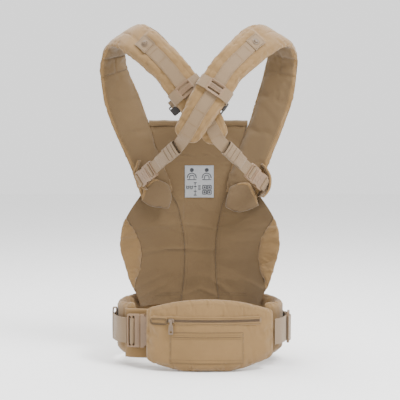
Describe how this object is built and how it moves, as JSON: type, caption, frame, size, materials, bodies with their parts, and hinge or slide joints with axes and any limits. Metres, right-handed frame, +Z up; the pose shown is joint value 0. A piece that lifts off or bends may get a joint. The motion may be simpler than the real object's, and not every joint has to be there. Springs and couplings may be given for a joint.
{
  "type": "soft baby carrier",
  "caption": "Soft structured baby carrier with a bucket panel, folding headrest, padded waist belt, lumbar pad and crossed padded shoulder straps.",
  "frame": {"origin": "on the surface that the belt stands on, under the middle of the object's plan", "axes": "+Z up, +Y towards the front panel (away from the wearer's back), +X to the right when looking along +Y"},
  "size_m": [0.3987, 0.2636, 0.67],
  "materials": {
    "outer_cloth": "matte cotton twill",
    "lining_cloth": "matte soft lining",
    "mesh_lining": "matte knitted mesh",
    "webbing": "ribbed woven webbing",
    "elastic": "knitted elastic",
    "buckle_plastic": "moulded acetal",
    "slider_plastic": "moulded acetal",
    "dark_plastic": "moulded acetal",
    "zip_teeth": "coil teeth",
    "zip_metal": "painted zinc slider",
    "snap_metal": "moulded snap",
    "foam": "open-cell foam",
    "label": "printed satin ribbon"
  },
  "bodies": {
    "carrier": {"belt_cover": "lining_cloth", "belt_foam": "foam", "lumbar_cover": "outer_cloth", "lumbar_foam": "foam", "pocket_patch": "outer_cloth", "zipper_tape": "elastic", "zipper_teeth": "zip_teeth", "zipper_garage": "outer_cloth", "waist_webbing_left": "webbing", "waist_webbing_slack": "webbing", "waist_keeper": "elastic", "waist_buckle_socket": "buckle_plastic", "waist_socket_loop": "webbing", "waist_buckle_guard": "outer_cloth", "waist_webbing_back": "webbing", "waist_webbing_right": "webbing", "waist_adjuster": "buckle_plastic", "panel_centre": "mesh_lining", "care_label": "label", "panel_side_left": "lining_cloth", "panel_side_right": "lining_cloth", "leg_pad_left": "outer_cloth", "leg_pad_right": "outer_cloth", "shoulder_tab_left": "outer_cloth", "shoulder_tab_right": "outer_cloth", "strap_cover_left": "outer_cloth", "strap_foam_left": "foam", "rail_webbing_left": "webbing", "anchor_patch_left": "webbing", "hood_snap_left": "snap_metal", "strap_webbing_left": "webbing", "webbing_keeper_left": "elastic", "shoulder_socket_left": "buckle_plastic", "socket_loop_left": "webbing", "strap_cover_right": "outer_cloth", "strap_foam_right": "foam", "rail_webbing_right": "webbing", "anchor_patch_right": "webbing", "hood_snap_right": "snap_metal", "strap_webbing_right": "webbing", "webbing_keeper_right": "elastic", "shoulder_socket_right": "buckle_plastic", "socket_loop_right": "webbing"},
    "headrest": {"headrest_cover": "mesh_lining", "headrest_foam": "foam"},
    "zip_slider": {"zipper_slider": "zip_metal"},
    "zip_pull": {"zipper_pull": "zip_metal"},
    "waist_plug": {"waist_buckle_plug": "buckle_plastic"},
    "chest_slider_left": {"chest_slider_left": "slider_plastic", "chest_band_left": "elastic", "chest_clip_left": "dark_plastic"},
    "shoulder_plug_left": {"shoulder_plug_left": "buckle_plastic"},
    "chest_slider_right": {"chest_slider_right": "slider_plastic", "chest_band_right": "elastic", "chest_clip_right": "dark_plastic"},
    "shoulder_plug_right": {"shoulder_plug_right": "buckle_plastic"}
  },
  "joints": [
    {"name": "headrest_fold", "type": "hinge", "parent": "carrier", "child": "headrest", "pos_m": [0, 0.1035, 0.3972], "axis": [1, 0, 0], "range_deg": [-150, 0]},
    {"name": "waist_buckle_release", "type": "slide", "parent": "carrier", "child": "waist_plug", "axis": [-0.9827, 0.1851, 0], "range_m": [0, 0.025], "deforming": ["waist_webbing_slack"]},
    {"name": "zipper_slide", "type": "hinge", "parent": "carrier", "child": "zip_slider", "pos_m": [0.0185, 0.211, 0.099], "axis": [0, 0, 1], "range_deg": [0, 27.5]},
    {"name": "zipper_pull_swing", "type": "hinge", "parent": "zip_slider", "child": "zip_pull", "pos_m": [-0.05541, -0.12763, 0.099], "axis": [-0.977, 0.2132, 0], "range_deg": [0, 150]},
    {"name": "chest_slider_left_slide", "type": "slide", "parent": "carrier", "child": "chest_slider_left", "axis": [-0.6102, 0.1252, 0.7823], "range_m": [0, 0.034]},
    {"name": "shoulder_buckle_left_release", "type": "slide", "parent": "carrier", "child": "shoulder_plug_left", "axis": [0.4853, -0.7643, 0.4246], "range_m": [0, 0.022], "deforming": ["strap_webbing_left"]},
    {"name": "chest_slider_right_slide", "type": "slide", "parent": "carrier", "child": "chest_slider_right", "axis": [0.5367, 0.2526, 0.8051], "range_m": [0, 0.034]},
    {"name": "shoulder_buckle_right_release", "type": "slide", "parent": "carrier", "child": "shoulder_plug_right", "axis": [-0.5259, -0.6882, 0.4999], "range_m": [0, 0.022], "deforming": ["strap_webbing_right"]}
  ]
}
